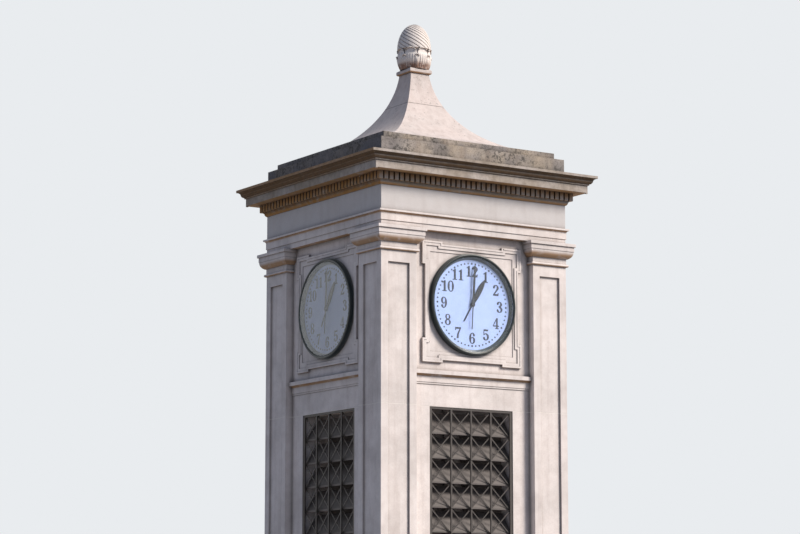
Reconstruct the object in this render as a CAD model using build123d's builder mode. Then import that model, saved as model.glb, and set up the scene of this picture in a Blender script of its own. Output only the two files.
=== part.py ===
from build123d import *
from math import atan2, cos, degrees, hypot, radians, sin
import os

# Stone clock tower with four like faces, millimetres, +Z up, front face towards -Y.
# The origin is the middle of the tower's foot, on the ground.
# Every projection is measured outward from the outer faces of the corner piers.

# Plan
shaft_width = 1750.0
pier_width = 323.0
wall_recess = 66.0
wall_thickness = 156.0
cut_margin = 100.0

# Pedestal, from the ground up
plinth_height = 280.0
plinth_projection = 92.0
base_moulding_height = 90.0
base_moulding_setback = 8.0
base_moulding_fillet = 14.0
base_moulding_hollow = 12.0
pedestal_height = 630.0
pedestal_projection = 42.0
pedestal_cap_height = 100.0
pedestal_cap_projection = 84.0
pedestal_cap_fillet = 8.0
pedestal_cap_slope = 15.0
pedestal_cap_nose = 40.0
pedestal_cap_quirk = 6.0
pedestal_cap_hollow = 6.0
pier_base_height = 120.0
pier_base_projection = 30.0
pier_base_block = 50.0
pier_base_torus = 43.0
pier_base_torus_setback = 6.0
pier_base_torus_bulge = 12.0
pier_base_fillet = 8.0

# Piers and their sunk panels
shaft_height = 3360.0
panel_width = 195.0
panel_depth = 16.0
panel_foot_margin = 110.0
panel_head_margin = 90.0

# Capitals
astragal_height = 22.0
astragal_projection = 18.0
astragal_bulge = 7.0
neck_height = 43.0
neck_projection = 3.0
echinus_height = 58.0
echinus_foot_projection = 12.0
echinus_quirk = 4.0
echinus_bulge = 10.5
abacus_projection = 50.0
abacus_height = 38.0
abacus_fillet_height = 24.0
abacus_fillet_projection = 60.0

# Entablature
lower_fascia_height = 43.0
upper_fascia_height = 50.0
upper_fascia_projection = 6.0
architrave_cap_height = 32.0
architrave_cap_projection = 24.0
architrave_fillet_height = 14.0
architrave_fillet_step = 3.0
architrave_hollow = 4.0
frieze_height = 192.0
bed_ovolo_height = 36.0
bed_ovolo_projection = 4.0
bed_ovolo_bulge = 4.0
bed_fillet_height = 8.0
bed_fillet_projection = 18.0
dentil_band_projection = 24.0
dentil_projection = 46.0
dentil_height = 62.0
dentil_count = 39
dentil_gap_share = 0.3
corona_projection = 130.0
corona_height = 60.0
corona_drip = 6.0
corona_drip_width = 16.0
cyma_height = 54.0
cyma_start_projection = 140.0
cyma_start_height = 8.0
cyma_step = 6.0
cyma_curve = 5.0
cornice_projection = 190.0
cornice_fillet_height = 20.0
cornice_slope_rise = 40.0

# Blocking course
blocking_lower_height = 104.0
blocking_lower_setback = 3.0
blocking_upper_height = 56.0
blocking_upper_setback = 60.0

# Roof
roof_foot_setback = 16.0
roof_height = 702.0
roof_neck_width = 176.0
roof_hollow = 175.0
roof_joint_height = 426.0
collar_width = 212.0
collar_height = 40.0
collar_round = 14.0

# Finial: heights above its foot, from the foot of the leaves to the top of the cone
cup_height = 174.0
cup_foot_radius = 112.0
cup_belly_height = 66.0
cup_belly_radius = 138.0
cup_rim_height = 138.0
cup_radius = 146.0
leaf_count = 6
leaf_valley = 3.0
leaf_notch_radius = 44.0
cone_seat_depth = 48.0
cone_seat_clearance = 1.0
cone_height = 216.0
cone_radius = 133.0
cone_steps = 5

# Clock, set in the frame between the capitals
bezel_lap = 6.0
bezel_depth = 39.0
bezel_rim_width = 18.0
bezel_splay = 24.0
dial_edge_cover = 5.0
glass_gap = 29.0
glass_thickness = 4.0
glass_clearance = 0.5

# Hands
hour_hand_gap = 6.0
hand_thickness = 4.0
hand_spacing = 6.0
hand_bore_clearance = 0.3
hour_post_radius = 9.0
minute_post_radius = 6.0
post_nut_radius = 12.0
post_nut_height = 4.0
post_nut_gap = 1.0
minute_hand_gap = 38.0
minute_hand_tail = 196.0
minute_hand_width = 18.0
minute_hand_point = 46.0
hour_hand_length = 236.0
hour_hand_tail = 156.0
hour_hand_width = 42.0
hour_hand_widest = 0.6
hour_hand_bulge = 6.0
hand_hub_radius = 19.0
hand_hub_sides = 8
hand_root_width = 12.0
hand_tip_width = 4.0
hand_tail_width = 7.0
minutes_past_one = 0.6

# Eared frame round the clock
frame_side_gap = 26.0
frame_top_gap = 73.0
frame_projection = 20.0
ear_step_side = 25.0
ear_step_top = 20.0
ear_height = 184.0
ear_width = 184.0
frame_outer_band = 14.0
frame_middle_band = 22.0
frame_inner_band_side = 15.0
frame_inner_band_top = 26.0
frame_first_step = 3.0
frame_second_step = 10.0
frame_inner_step = 15.0

# String course under the clock, and the sill of the latticed opening
clock_sill_gap = 58.0
clock_sill_height = 112.0
clock_sill_projection = 37.0
clock_sill_slope = 6.0
clock_sill_nose = 36.0
clock_sill_quirk = 7.0
clock_sill_cove_height = 16.0
clock_sill_cove = 3.4
clock_sill_fascia_projection = 10.0
clock_sill_bead_height = 14.0
clock_sill_bead_step = 4.0
opening_head_gap = 171.0
opening_sill_height = 50.0
opening_sill_projection = 34.0
opening_sill_horn = 40.0

# Latticed opening: uprights in a border, two layers of crossed braces, and louvre blades
lattice_columns = 4
lattice_rows = 8
lattice_cell_width = 186.0
lattice_cell_height = 188.5
lattice_border = 18.0
lattice_upright_width = 14.0
lattice_depth = 10.0
lattice_set_back = 5.0
brace_width = 9.0
brace_depth = 4.0
brace_gap = 0.5
louvre_gap = 6.0
louvre_depth = 120.0
louvre_rise = 160.0
louvre_thickness = 7.0

# Worked out from the sizes above: plan and levels
half = shaft_width / 2
pier_inner = half - pier_width
wall_face = half - wall_recess
pedestal_foot = plinth_height + base_moulding_height
cap_foot = pedestal_foot + pedestal_height
pier_foot = cap_foot + pedestal_cap_height
shaft_foot = pier_foot + pier_base_height
capital_foot = shaft_foot + shaft_height
capital_height = astragal_height + neck_height + echinus_height + abacus_height + abacus_fillet_height
architrave_foot = capital_foot + capital_height
architrave_height = lower_fascia_height + upper_fascia_height + architrave_cap_height
frieze_foot = architrave_foot + architrave_height
bed_foot = frieze_foot + frieze_height
bed_height = bed_ovolo_height + dentil_height
cornice_foot = bed_foot + bed_height
cyma_foot = cornice_foot + corona_height
cyma_top = cyma_foot + cyma_height
cornice_tip = cyma_top + cornice_fillet_height
blocking_foot = cornice_tip + cornice_slope_rise
blocking_step = blocking_foot + blocking_lower_height
roof_foot = blocking_step + blocking_upper_height
collar_foot = roof_foot + roof_height
finial_foot = collar_foot + collar_height
cup_top = finial_foot + cup_height
cone_seat = cup_top - cone_seat_depth
reach = half + cornice_projection + cut_margin

# Worked out: the frame between the capitals, and the clock that fits in it
frame_half_width = pier_inner - abacus_fillet_projection - frame_side_gap
frame_edge_band = frame_outer_band + frame_middle_band
frame_inner_half = frame_half_width - ear_step_side - frame_edge_band - frame_inner_band_side
frame_half_height = frame_inner_half + frame_inner_band_top + frame_edge_band + ear_step_top
bezel_radius = frame_inner_half + bezel_lap
dial_radius = bezel_radius - bezel_rim_width - bezel_splay
minute_hand_length = dial_radius - minute_hand_gap
clock_height = architrave_foot - frame_top_gap - frame_half_height
clock_sill_top = clock_height - frame_half_height - clock_sill_gap
opening_top = clock_sill_top - clock_sill_height - opening_head_gap
opening_width = lattice_columns * lattice_cell_width + 2 * lattice_border
opening_height = lattice_rows * lattice_cell_height + 2 * lattice_border
opening_middle = opening_top - opening_height / 2

faces = {"front": 0, "right": 90, "back": 180, "left": 270}

os.makedirs("parts", exist_ok=True)


def save(piece, name):
    """Label one finished sub-part and write it."""
    piece.part.label = name
    export_step(piece.part, f"parts/{name}.step")


def outward(turn):
    """Outward direction of the face that is turned by so many degrees from the front."""
    return Vector(0, -1, 0).rotate(Axis.Z, turn)


def face_plane(turn, distance, height=0, lean=0):
    """Plane of a face: x to the right as seen from outside, y up, z outward, turned clockwise by a lean."""
    along = Vector(1, 0, 0).rotate(Axis.Z, turn).rotate(Axis((0, 0, 0), outward(turn)), -lean)
    origin = outward(turn) * distance + Vector(0, 0, height)
    return Plane(origin=origin, x_dir=along, z_dir=outward(turn))


def section_plane(turn):
    """Upright plane through the axis: x outward from the axis of the tower, y up."""
    return Plane(origin=(0, 0, 0), x_dir=outward(turn), z_dir=outward(turn).cross(Vector(0, 0, 1)))


def square_course(outline):
    """Square block with the same moulded outline on its four sides and mitred corners."""
    with BuildPart() as course:
        for side, mode in ((Plane.XZ, Mode.ADD), (Plane.YZ, Mode.INTERSECT)):
            with BuildSketch(side):
                with BuildLine():
                    outline()
                    mirror(about=Plane.YZ)
                make_face()
            extrude(amount=reach, both=True, mode=mode)
    return course


# Pedestal
with BuildPart() as plinth:
    with BuildSketch(Plane.XY):
        Rectangle(shaft_width + 2 * plinth_projection, shaft_width + 2 * plinth_projection)
    extrude(amount=plinth_height)
save(plinth, "plinth")


def base_moulding_outline():
    top = half + pedestal_projection
    foot = half + plinth_projection - base_moulding_setback
    hollow_top = pedestal_foot - base_moulding_fillet
    hollow_foot = plinth_height + base_moulding_fillet
    Polyline((0, pedestal_foot), (top, pedestal_foot), (top, hollow_top))
    SagittaArc((top, hollow_top), (foot, hollow_foot), -base_moulding_hollow)
    Polyline((foot, hollow_foot), (foot, plinth_height), (0, plinth_height))


base_moulding = square_course(base_moulding_outline)
save(base_moulding, "base_moulding")

with BuildPart() as pedestal:
    with BuildSketch(Plane.XY.offset(pedestal_foot)):
        Rectangle(shaft_width + 2 * pedestal_projection, shaft_width + 2 * pedestal_projection)
    extrude(amount=pedestal_height)
save(pedestal, "pedestal")


def pedestal_cap_outline():
    foot = half + pedestal_projection
    nose = half + pedestal_cap_projection
    hollow_foot = cap_foot + pedestal_cap_fillet
    nose_top = pier_foot - pedestal_cap_slope
    nose_foot = nose_top - pedestal_cap_nose
    Polyline((0, cap_foot), (foot, cap_foot), (foot, hollow_foot))
    SagittaArc((foot, hollow_foot), (nose - pedestal_cap_quirk, nose_foot), pedestal_cap_hollow)
    Polyline(
        (nose - pedestal_cap_quirk, nose_foot),
        (nose, nose_foot),
        (nose, nose_top),
        (half + pier_base_projection, pier_foot),
        (0, pier_foot),
    )


pedestal_cap = square_course(pedestal_cap_outline)
save(pedestal_cap, "pedestal_cap")


# Corner piers
def pier_block(outline, foot, height):
    """Moulded square block about the front left pier, cut back where the walls and the well are."""
    cut = 2 * reach
    middle = half - pier_width / 2
    with BuildPart() as block:
        add(square_course(outline).part.moved(Location((-middle, -middle, 0))))
        with BuildSketch(Plane.XY.offset(foot)):
            with Locations((-pier_inner, -wall_face)):
                Rectangle(cut, cut, align=(Align.MIN, Align.MIN))
            with Locations((-wall_face, -pier_inner)):
                Rectangle(cut, cut, align=(Align.MIN, Align.MIN))
        extrude(amount=height, mode=Mode.SUBTRACT)
    return block.part


def pier_ring(outline, foot, height):
    """The same block on all four piers, as four solids."""
    block = pier_block(outline, foot, height)
    with BuildPart() as ring:
        for turn in faces.values():
            add(block.rotate(Axis.Z, turn))
    return ring


def pier_base_outline():
    shaft = pier_width / 2
    block = shaft + pier_base_projection
    torus = block - pier_base_torus_setback
    block_top = pier_foot + pier_base_block
    torus_top = block_top + pier_base_torus
    Polyline((0, pier_foot), (block, pier_foot), (block, block_top), (torus, block_top))
    SagittaArc((torus, block_top), (torus, torus_top), -pier_base_torus_bulge)
    Polyline(
        (torus, torus_top),
        (shaft + pier_base_fillet, torus_top),
        (shaft + pier_base_fillet, shaft_foot),
        (0, shaft_foot),
    )


pier_bases = pier_ring(pier_base_outline, pier_foot, pier_base_height)
save(pier_bases, "pier_bases")

for index, name in enumerate(("front_left", "front_right", "back_right", "back_left")):
    turn = 90 * index
    panel_height = shaft_height - panel_foot_margin - panel_head_margin
    panel_middle = shaft_foot + panel_foot_margin + panel_height / 2
    pier_middle = half - pier_width / 2
    with BuildPart() as pier:
        corner = Vector(-pier_middle, -pier_middle, 0).rotate(Axis.Z, turn)
        with BuildSketch(Plane.XY.offset(shaft_foot)):
            with Locations((corner.X, corner.Y)):
                Rectangle(pier_width, pier_width)
        extrude(amount=shaft_height)
        for side, across in ((turn, -pier_middle), (turn - 90, pier_middle)):
            with BuildSketch(face_plane(side, half)):
                with Locations((across, panel_middle)):
                    Rectangle(panel_width, panel_height)
            extrude(amount=-panel_depth, mode=Mode.SUBTRACT)
    save(pier, f"pier_{name}")


def capital_outline():
    shaft = pier_width / 2
    neck_foot = capital_foot + astragal_height
    echinus_foot = neck_foot + neck_height
    abacus_foot = echinus_foot + echinus_height
    fillet_foot = abacus_foot + abacus_height
    bead = shaft + astragal_projection - astragal_bulge
    Line((0, capital_foot), (bead, capital_foot))
    SagittaArc((bead, capital_foot), (bead, neck_foot), -astragal_bulge)
    echinus_start = (shaft + echinus_foot_projection, echinus_foot)
    echinus_end = (shaft + abacus_projection - echinus_quirk, abacus_foot)
    Polyline(
        (bead, neck_foot),
        (shaft + neck_projection, neck_foot),
        (shaft + neck_projection, echinus_foot),
        echinus_start,
    )
    SagittaArc(echinus_start, echinus_end, -echinus_bulge)
    Polyline(
        echinus_end,
        (shaft + abacus_projection, abacus_foot),
        (shaft + abacus_projection, fillet_foot),
        (shaft + abacus_fillet_projection, fillet_foot),
        (shaft + abacus_fillet_projection, architrave_foot),
        (0, architrave_foot),
    )


pier_capitals = pier_ring(capital_outline, capital_foot, capital_height)
save(pier_capitals, "pier_capitals")

# Recessed walls
wall_height = architrave_foot - pier_foot
for name, turn in faces.items():
    with BuildPart() as wall:
        with BuildSketch(face_plane(turn, wall_face)):
            with Locations((0, pier_foot + wall_height / 2)):
                Rectangle(2 * pier_inner, wall_height)
            with Locations((0, opening_middle)):
                Rectangle(opening_width, opening_height, mode=Mode.SUBTRACT)
        extrude(amount=-wall_thickness)
    save(wall, f"wall_{name}")


# Eared frames round the clocks
def eared_outline():
    """Rectangle with a square ear at each corner."""
    w = frame_half_width
    h = frame_half_height
    Polyline(
        (0, h - ear_step_top),
        (w - ear_width, h - ear_step_top),
        (w - ear_width, h),
        (w, h),
        (w, h - ear_height),
        (w - ear_step_side, h - ear_height),
        (w - ear_step_side, 0),
    )
    mirror(about=Plane.YZ)
    mirror(about=Plane.XZ)


with BuildPart() as clock_frames:
    for turn in faces.values():
        with BuildSketch(face_plane(turn, wall_face, clock_height)):
            with BuildLine():
                eared_outline()
            make_face()
        extrude(amount=frame_projection)
        for inset, step in ((frame_outer_band, frame_first_step), (frame_edge_band, frame_second_step)):
            with BuildSketch(face_plane(turn, wall_face + frame_projection, clock_height)):
                with BuildLine():
                    eared_outline()
                make_face()
                offset(amount=-inset, kind=Kind.INTERSECTION, mode=Mode.REPLACE)
            extrude(amount=-step, mode=Mode.SUBTRACT)
        with BuildSketch(face_plane(turn, wall_face + frame_projection, clock_height)):
            Rectangle(2 * frame_inner_half, 2 * frame_inner_half)
        extrude(amount=-frame_inner_step, mode=Mode.SUBTRACT)
save(clock_frames, "clock_frames")

# String courses under the clocks
with BuildPart() as clock_sills:
    for turn in faces.values():
        nose = wall_face + clock_sill_projection
        fascia = wall_face + clock_sill_fascia_projection
        nose_foot = clock_sill_top - clock_sill_nose
        fascia_top = nose_foot - clock_sill_cove_height
        foot = clock_sill_top - clock_sill_height
        bead_top = foot + clock_sill_bead_height
        with BuildSketch(section_plane(turn)):
            with BuildLine():
                Polyline(
                    (wall_face, clock_sill_top),
                    (nose, clock_sill_top - clock_sill_slope),
                    (nose, nose_foot),
                    (nose - clock_sill_quirk, nose_foot),
                )
                SagittaArc((nose - clock_sill_quirk, nose_foot), (fascia, fascia_top), -clock_sill_cove)
                Polyline(
                    (fascia, fascia_top),
                    (fascia, bead_top),
                    (fascia - clock_sill_bead_step, bead_top),
                    (fascia - clock_sill_bead_step, foot),
                    (wall_face, foot),
                    (wall_face, clock_sill_top),
                )
            make_face()
        extrude(amount=pier_inner, both=True)
save(clock_sills, "clock_sills")

with BuildPart() as opening_sills:
    for turn in faces.values():
        with BuildSketch(face_plane(turn, wall_face)):
            with Locations((0, opening_middle - opening_height / 2 - opening_sill_height / 2)):
                Rectangle(opening_width + 2 * opening_sill_horn, opening_sill_height)
        extrude(amount=opening_sill_projection)
save(opening_sills, "opening_sills")


# Lattices: a border with uprights in front, crossed braces in two layers behind it
grid_face = wall_face - lattice_set_back
for name, turn in faces.items():
    with BuildPart() as grille:
        with BuildSketch(face_plane(turn, grid_face, opening_middle)):
            Rectangle(opening_width, opening_height)
            with GridLocations(lattice_cell_width, opening_height, lattice_columns, 1):
                Rectangle(
                    lattice_cell_width - lattice_upright_width,
                    opening_height - 2 * lattice_border,
                    mode=Mode.SUBTRACT,
                )
        extrude(amount=-lattice_depth)
    save(grille, f"grille_{name}")

brace_angle = degrees(atan2(lattice_cell_height, lattice_cell_width))
brace_reach = hypot(opening_width, opening_height)
brace_range = lattice_columns + lattice_rows
with BuildPart() as grille_braces:
    for turn in faces.values():
        for layer, lean in enumerate((brace_angle, -brace_angle)):
            front = grid_face - lattice_depth - layer * (brace_depth + brace_gap)
            with BuildSketch(face_plane(turn, front, opening_middle)):
                # Braces run through the corners of the cells, one cell apart
                for step in range(-brace_range, brace_range + 1):
                    if (step + lattice_columns + lattice_rows) % 2 == 0:
                        with Locations(Location((0, step * lattice_cell_height / 2), lean)):
                            Rectangle(brace_reach, brace_width)
                Rectangle(opening_width, opening_height, mode=Mode.INTERSECT)
            extrude(amount=-brace_depth)
save(grille_braces, "grille_braces")

# Louvre blades
with BuildPart() as louvres:
    for turn in faces.values():
        front = grid_face - lattice_depth - 2 * brace_depth - brace_gap - louvre_gap
        for row in range(lattice_rows):
            foot = opening_middle - opening_height / 2 + lattice_border + row * lattice_cell_height
            with BuildSketch(section_plane(turn)):
                Polygon(
                    (front, foot),
                    (front, foot + louvre_thickness * 2),
                    (front - louvre_depth, foot + louvre_rise + louvre_thickness * 2),
                    (front - louvre_depth, foot + louvre_rise),
                    align=None,
                )
            extrude(amount=opening_width / 2, both=True)
save(louvres, "louvres")

# Clocks: the dial stands on the frame's inner panel, and the bezel clamps its edge
panel_front = wall_face + frame_projection - frame_inner_step
dial_front = wall_face + frame_projection - frame_second_step
bezel_front = dial_front + bezel_depth
glass_back = dial_front + glass_gap
glass_radius = dial_radius + bezel_splay * glass_gap / bezel_depth - glass_clearance


def clock_axis(turn):
    """Axis of the clock on one face, pointing outward."""
    return Axis((0, 0, clock_height), outward(turn))


with BuildPart() as clock_bezels:
    for turn in faces.values():
        with BuildSketch(section_plane(turn)):
            Polygon(
                (dial_front, clock_height + dial_radius),
                (dial_front, clock_height + bezel_radius),
                (bezel_front, clock_height + bezel_radius),
                (bezel_front, clock_height + dial_radius + bezel_splay),
                align=None,
            )
        revolve(axis=clock_axis(turn))
save(clock_bezels, "clock_bezels")

with BuildPart() as clock_dials:
    for turn in faces.values():
        with BuildSketch(face_plane(turn, panel_front, clock_height)):
            Circle(dial_radius + dial_edge_cover)
        extrude(amount=dial_front - panel_front)
save(clock_dials, "clock_dials")

with BuildPart() as clock_glasses:
    for turn in faces.values():
        with BuildSketch(face_plane(turn, glass_back, clock_height)):
            Circle(glass_radius)
        extrude(amount=glass_thickness)
save(clock_glasses, "clock_glasses")

# Posts that carry the hands, with a nut at the end
hour_hand_back = dial_front + hour_hand_gap
minute_hand_back = hour_hand_back + hand_thickness + hand_spacing
post_step = hour_hand_back + hand_thickness + hand_spacing / 2
nut_back = minute_hand_back + hand_thickness + post_nut_gap
with BuildPart() as hand_posts:
    for turn in faces.values():
        with BuildSketch(face_plane(turn, dial_front, clock_height)):
            Circle(hour_post_radius)
        extrude(amount=post_step - dial_front)
        with BuildSketch(face_plane(turn, post_step, clock_height)):
            Circle(minute_post_radius)
        extrude(amount=nut_back - post_step)
        with BuildSketch(face_plane(turn, nut_back, clock_height)):
            RegularPolygon(post_nut_radius, side_count=6)
        extrude(amount=post_nut_height)
save(hand_posts, "hand_posts")


# Hands
def minute_hand_outline():
    """Blade with parallel sides, a short point and a thin tail, pointing up."""
    half_width = minute_hand_width / 2
    Polyline(
        (0, minute_hand_length),
        (hand_tip_width / 2, minute_hand_length),
        (half_width, minute_hand_length - minute_hand_point),
        (half_width, 0),
        (hand_tail_width / 2, 0),
        (hand_tail_width / 2, -minute_hand_tail),
        (0, -minute_hand_tail),
    )
    mirror(about=Plane.YZ)


def hour_hand_outline():
    """Leaf with curved sides and a thin tail, pointing up."""
    tip = (hand_tip_width / 2, hour_hand_length)
    widest = (hour_hand_width / 2, hour_hand_widest * hour_hand_length)
    root = (hand_root_width / 2, 0)
    Line((0, hour_hand_length), tip)
    SagittaArc(tip, widest, hour_hand_bulge)
    SagittaArc(widest, root, hour_hand_bulge)
    Polyline(
        root,
        (hand_tail_width / 2, 0),
        (hand_tail_width / 2, -hour_hand_tail),
        (0, -hour_hand_tail),
    )
    mirror(about=Plane.YZ)


def hand(turn, back, outline, bore, angle):
    """Flat hand on its hub, turned clockwise from twelve as seen from outside."""
    with BuildPart() as piece:
        with BuildSketch(face_plane(turn, back, clock_height, angle)):
            with BuildLine():
                outline()
            make_face()
            RegularPolygon(hand_hub_radius, side_count=hand_hub_sides)
            Circle(bore, mode=Mode.SUBTRACT)
        extrude(amount=hand_thickness)
    return piece


minute_bore = minute_post_radius + hand_bore_clearance
minute_angle = 6 * minutes_past_one
hour_bore = hour_post_radius + hand_bore_clearance
hour_angle = 30 + minute_angle / 12
for name, turn in faces.items():
    minute_hand = hand(turn, minute_hand_back, minute_hand_outline, minute_bore, minute_angle)
    save(minute_hand, f"minute_hand_{name}")
    hour_hand = hand(turn, hour_hand_back, hour_hand_outline, hour_bore, hour_angle)
    save(hour_hand, f"hour_hand_{name}")


# Entablature
def architrave_outline():
    top = architrave_foot + architrave_height
    upper_foot = architrave_foot + lower_fascia_height
    cavetto_foot = upper_foot + upper_fascia_height
    fillet_foot = top - architrave_fillet_height
    Polyline(
        (0, architrave_foot),
        (half, architrave_foot),
        (half, upper_foot),
        (half + upper_fascia_projection, upper_foot),
        (half + upper_fascia_projection, cavetto_foot),
    )
    SagittaArc(
        (half + upper_fascia_projection, cavetto_foot),
        (half + architrave_cap_projection - architrave_fillet_step, fillet_foot),
        architrave_hollow,
    )
    Polyline(
        (half + architrave_cap_projection - architrave_fillet_step, fillet_foot),
        (half + architrave_cap_projection, fillet_foot),
        (half + architrave_cap_projection, top),
        (0, top),
    )


architrave = square_course(architrave_outline)
save(architrave, "architrave")

with BuildPart() as frieze:
    with BuildSketch(Plane.XY.offset(frieze_foot)):
        Rectangle(shaft_width, shaft_width)
    extrude(amount=frieze_height)
save(frieze, "frieze")


def bed_outline():
    ovolo_top = bed_foot + bed_ovolo_height - bed_fillet_height
    start = (half + bed_ovolo_projection, bed_foot)
    end = (half + bed_fillet_projection, ovolo_top)
    Line((0, bed_foot), start)
    SagittaArc(start, end, -bed_ovolo_bulge)
    Polyline(
        end,
        (half + dentil_band_projection, ovolo_top),
        (half + dentil_band_projection, cornice_foot),
        (0, cornice_foot),
    )


# Dentils stand on the band in one row a side, with a whole dentil at each corner.
dentil_row = shaft_width + 2 * dentil_projection
dentil_pitch = dentil_row / (dentil_count - dentil_gap_share)
dentil_width = dentil_pitch * (1 - dentil_gap_share)
with BuildPart() as bed_moulding:
    add(square_course(bed_outline).part)
    for turn in faces.values():
        with BuildSketch(face_plane(turn, half + dentil_band_projection, cornice_foot - dentil_height / 2)):
            with GridLocations(dentil_pitch, 1, dentil_count, 1):
                Rectangle(dentil_width, dentil_height)
        extrude(amount=dentil_projection - dentil_band_projection)
save(bed_moulding, "bed_moulding")


def cornice_outline():
    corona = half + corona_projection
    tip = half + cornice_projection
    drip_inner = corona - corona_drip_width
    start = (half + cyma_start_projection, cyma_foot + cyma_start_height)
    end = (tip - cyma_step, cyma_top)
    middle = ((start[0] + end[0]) / 2, (start[1] + end[1]) / 2)
    Polyline(
        (0, cornice_foot),
        (drip_inner, cornice_foot),
        (drip_inner, cornice_foot - corona_drip),
        (corona, cornice_foot - corona_drip),
        (corona, cyma_foot),
        (half + cyma_start_projection, cyma_foot),
        start,
    )
    SagittaArc(start, middle, -cyma_curve)
    SagittaArc(middle, end, cyma_curve)
    Polyline(
        end,
        (tip, cyma_top),
        (tip, cornice_tip),
        (half - blocking_lower_setback, blocking_foot),
        (0, blocking_foot),
    )


cornice = square_course(cornice_outline)
save(cornice, "cornice")

# Blocking course in two steps
with BuildPart() as blocking_course_lower:
    with BuildSketch(Plane.XY.offset(blocking_foot)):
        Rectangle(shaft_width - 2 * blocking_lower_setback, shaft_width - 2 * blocking_lower_setback)
    extrude(amount=blocking_lower_height)
save(blocking_course_lower, "blocking_course_lower")

with BuildPart() as blocking_course_upper:
    with BuildSketch(Plane.XY.offset(blocking_step)):
        Rectangle(shaft_width - 2 * blocking_upper_setback, shaft_width - 2 * blocking_upper_setback)
    extrude(amount=blocking_upper_height)
save(blocking_course_upper, "blocking_course_upper")


# Flared roof in two stones
def roof_outline():
    foot = half - blocking_upper_setback - roof_foot_setback
    neck = roof_neck_width / 2
    Line((0, roof_foot), (foot, roof_foot))
    SagittaArc((foot, roof_foot), (neck, collar_foot), roof_hollow)
    Line((neck, collar_foot), (0, collar_foot))


roof = square_course(roof_outline).part
joint_plane = Plane.XY.offset(roof_foot + roof_joint_height)
with BuildPart() as roof_lower:
    add(roof)
    split(bisect_by=joint_plane, keep=Keep.BOTTOM)
save(roof_lower, "roof_lower")

with BuildPart() as roof_upper:
    add(roof)
    split(bisect_by=joint_plane, keep=Keep.TOP)
save(roof_upper, "roof_upper")

with BuildPart() as roof_collar:
    with BuildSketch(Plane.XY.offset(collar_foot)):
        Rectangle(collar_width, collar_width)
    extrude(amount=collar_height)
    fillet(roof_collar.edges().filter_by(Axis.Z, reverse=True), radius=collar_round)
save(roof_collar, "roof_collar")

# Pine-cone finial standing in a cup of leaves, each with a rib in its middle
with BuildPart() as finial_cup:
    for height, radius in (
        (0, cup_foot_radius),
        (cup_belly_height, cup_belly_radius),
        (cup_rim_height, cup_radius),
        (cup_height, cup_radius),
    ):
        points = []
        for corner in range(2 * leaf_count):
            valley = leaf_valley * (1 - corner % 2)
            points.append(Vector(0, valley - radius).rotate(Axis.Z, 180 / leaf_count * corner))
        with BuildSketch(Plane.XY.offset(finial_foot + height)):
            Polygon(*points, align=None)
    loft(ruled=True)
    # Seat of the cone, and a round notch between two leaves where the cone shows
    with BuildSketch(Plane.XY.offset(cone_seat)):
        Circle(cone_radius + cone_seat_clearance)
    extrude(amount=cone_seat_depth, mode=Mode.SUBTRACT)
    for leaf in range(leaf_count):
        notch_turn = 360 / leaf_count * leaf
        with BuildSketch(face_plane(notch_turn, cone_radius / 2, cup_top)):
            Circle(leaf_notch_radius)
        extrude(amount=cup_radius, mode=Mode.SUBTRACT)
save(finial_cup, "finial_cup")

with BuildPart() as finial_cone:
    with BuildSketch(Plane.XZ):
        # Straight in its seat, then a quarter of an oval in even steps of its angle
        points = [(0, cone_seat), (cone_radius, cone_seat)]
        for step in range(cone_steps + 1):
            angle = radians(90 * step / cone_steps)
            points.append((cone_radius * cos(angle), cup_top + cone_height * sin(angle)))
        Polygon(*points, align=None)
    revolve(axis=Axis.Z)
save(finial_cone, "finial_cone")
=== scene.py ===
"""Looks of a stone clock tower: stone finishes, clock faces, lattices, carved finial and stage."""

import math
from bisect import bisect_left

import bmesh
import bpy
from bpy.props import FloatProperty, FloatVectorProperty, IntProperty, PointerProperty
from mathutils import Matrix, Vector


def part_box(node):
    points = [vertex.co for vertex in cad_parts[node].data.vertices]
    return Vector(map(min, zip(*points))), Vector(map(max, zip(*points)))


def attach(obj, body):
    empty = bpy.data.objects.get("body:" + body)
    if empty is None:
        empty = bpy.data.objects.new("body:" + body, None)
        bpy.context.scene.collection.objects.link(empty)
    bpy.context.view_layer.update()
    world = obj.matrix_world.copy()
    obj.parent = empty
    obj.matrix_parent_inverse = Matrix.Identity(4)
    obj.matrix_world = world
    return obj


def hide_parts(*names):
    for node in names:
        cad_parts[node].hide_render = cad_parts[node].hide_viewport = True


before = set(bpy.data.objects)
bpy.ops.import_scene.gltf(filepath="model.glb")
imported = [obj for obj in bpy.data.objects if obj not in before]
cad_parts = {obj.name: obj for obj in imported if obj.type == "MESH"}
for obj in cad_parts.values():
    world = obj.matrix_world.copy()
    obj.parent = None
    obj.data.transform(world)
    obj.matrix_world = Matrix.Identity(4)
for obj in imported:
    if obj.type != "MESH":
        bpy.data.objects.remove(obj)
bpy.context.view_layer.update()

bl_info = {
    "name": "Stone Clock Tower Finishes",
    "version": (1, 0, 0),
    "blender": (4, 5, 0),
    "location": "View3D > Sidebar > Clock Tower",
    "description": "Finishes of a limestone clock tower, its dials, lattices and pine-cone finial",
    "category": "Object",
}

MM = 0.001

# How far each face of the tower is turned from the front, in degrees
FACES = {"front": 0, "right": 90, "back": 180, "left": 270}

# Places of the clock, read from the frame
DIAL_LOW, DIAL_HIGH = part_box("clock_dials")
BEZEL_LOW, BEZEL_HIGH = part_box("clock_bezels")
CLOCK_HEIGHT = (DIAL_LOW.z + DIAL_HIGH.z) / 2
DIAL_FRONT = -DIAL_LOW.y
BEZEL_FRONT = -BEZEL_LOW.y
BEZEL_RADIUS = (BEZEL_HIGH.z - BEZEL_LOW.z) / 2

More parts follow.
